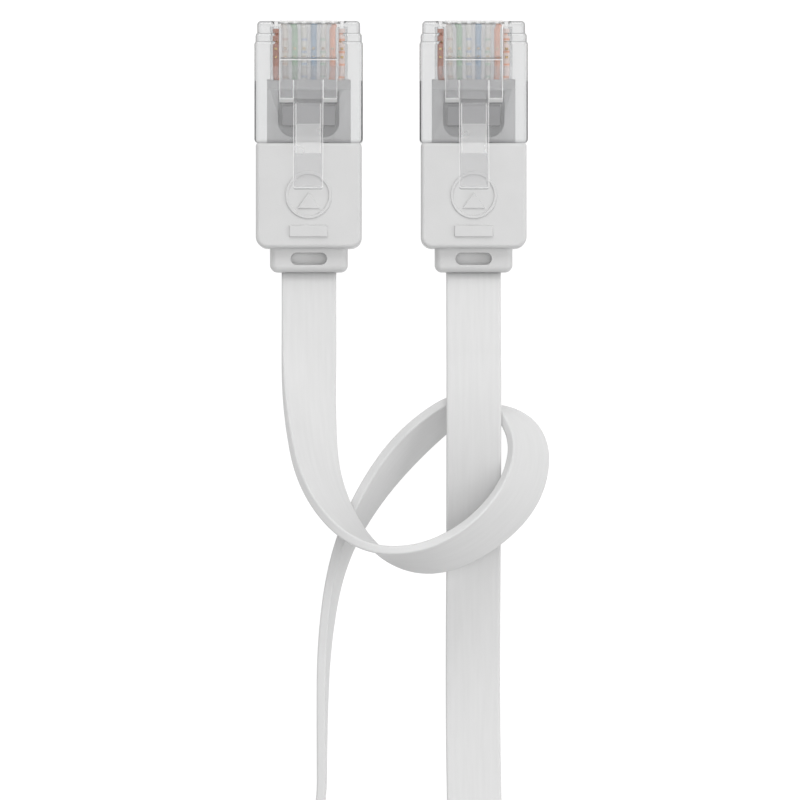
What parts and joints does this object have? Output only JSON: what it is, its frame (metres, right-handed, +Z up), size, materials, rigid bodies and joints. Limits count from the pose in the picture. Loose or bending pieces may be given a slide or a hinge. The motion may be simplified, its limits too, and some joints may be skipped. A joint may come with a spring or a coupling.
{
  "type": "flat ethernet patch cable",
  "caption": "Flat white network patch cable with a clear modular plug and slim boot on each end, one open loop and the spare length in a tied hank.",
  "frame": {"origin": "midway between the two plugs, on the surface that they lie on", "axes": "+Y the way both plugs point, +Z up through the latches, +X from plug a to plug b"},
  "size_m": [0.0436, 0.2066, 0.0111],
  "materials": {
    "clear_plastic": "clear moulded polycarbonate, glossy",
    "latch_plastic": "clear moulded polycarbonate, glossy",
    "guide_plastic": "clear moulded polycarbonate, satin",
    "wedge_plastic": "clear moulded polycarbonate, satin",
    "mould_plastic": "soft moulded vinyl, pale grey",
    "boot_plastic": "fine-grained white moulded vinyl",
    "cable_jacket": "smooth extruded white vinyl, low sheen",
    "copper": "bare stranded copper",
    "gold": "gold plating",
    "tie_fabric": "pale hook-and-loop strap",
    "wire_white_orange": "white insulation with an orange stripe",
    "wire_orange": "orange insulation",
    "wire_white_green": "white insulation with a green stripe",
    "wire_blue": "blue insulation",
    "wire_white_blue": "white insulation with a blue stripe",
    "wire_green": "green insulation",
    "wire_white_brown": "white insulation with a brown stripe",
    "wire_brown": "brown insulation"
  },
  "bodies": {
    "cable": {"housing_a": "clear_plastic", "wire_guide_a": "guide_plastic", "crimp_wedge_a": "wedge_plastic", "inner_mould_a": "mould_plastic", "jacket_end_a": "cable_jacket", "boot_a": "boot_plastic", "wire_cores_a": "copper", "wire_a_1": "wire_brown", "contact_a_1": "gold", "wire_a_2": "wire_white_brown", "contact_a_2": "gold", "wire_a_3": "wire_green", "contact_a_3": "gold", "wire_a_4": "wire_white_blue", "contact_a_4": "gold", "wire_a_5": "wire_blue", "contact_a_5": "gold", "wire_a_6": "wire_white_green", "contact_a_6": "gold", "wire_a_7": "wire_orange", "contact_a_7": "gold", "wire_a_8": "wire_white_orange", "contact_a_8": "gold", "housing_b": "clear_plastic", "wire_guide_b": "guide_plastic", "crimp_wedge_b": "wedge_plastic", "inner_mould_b": "mould_plastic", "jacket_end_b": "cable_jacket", "boot_b": "boot_plastic", "wire_cores_b": "copper", "wire_b_1": "wire_brown", "contact_b_1": "gold", "wire_b_2": "wire_white_brown", "contact_b_2": "gold", "wire_b_3": "wire_green", "contact_b_3": "gold", "wire_b_4": "wire_white_blue", "contact_b_4": "gold", "wire_b_5": "wire_blue", "contact_b_5": "gold", "wire_b_6": "wire_white_green", "contact_b_6": "gold", "wire_b_7": "wire_orange", "contact_b_7": "gold", "wire_b_8": "wire_white_orange", "contact_b_8": "gold", "cable_run_a": "cable_jacket", "cable_run_b": "cable_jacket", "cable_hank": "cable_jacket", "hank_tie_left": "tie_fabric", "hank_tie_right": "tie_fabric"},
    "latch_a_lever": {"latch_a": "latch_plastic"},
    "latch_b_lever": {"latch_b": "latch_plastic"}
  },
  "joints": [
    {"name": "latch_a_press", "type": "hinge", "parent": "cable", "child": "latch_a_lever", "pos_m": [-0.0089, 0.01275, 0.00625], "axis": [1, 0, 0], "range_deg": [0, 7], "stiffness_Nm_per_rad": 0.05},
    {"name": "latch_b_press", "type": "hinge", "parent": "cable", "child": "latch_b_lever", "pos_m": [0.0089, 0.01275, 0.00625], "axis": [1, 0, 0], "range_deg": [0, 7], "stiffness_Nm_per_rad": 0.05}
  ]
}
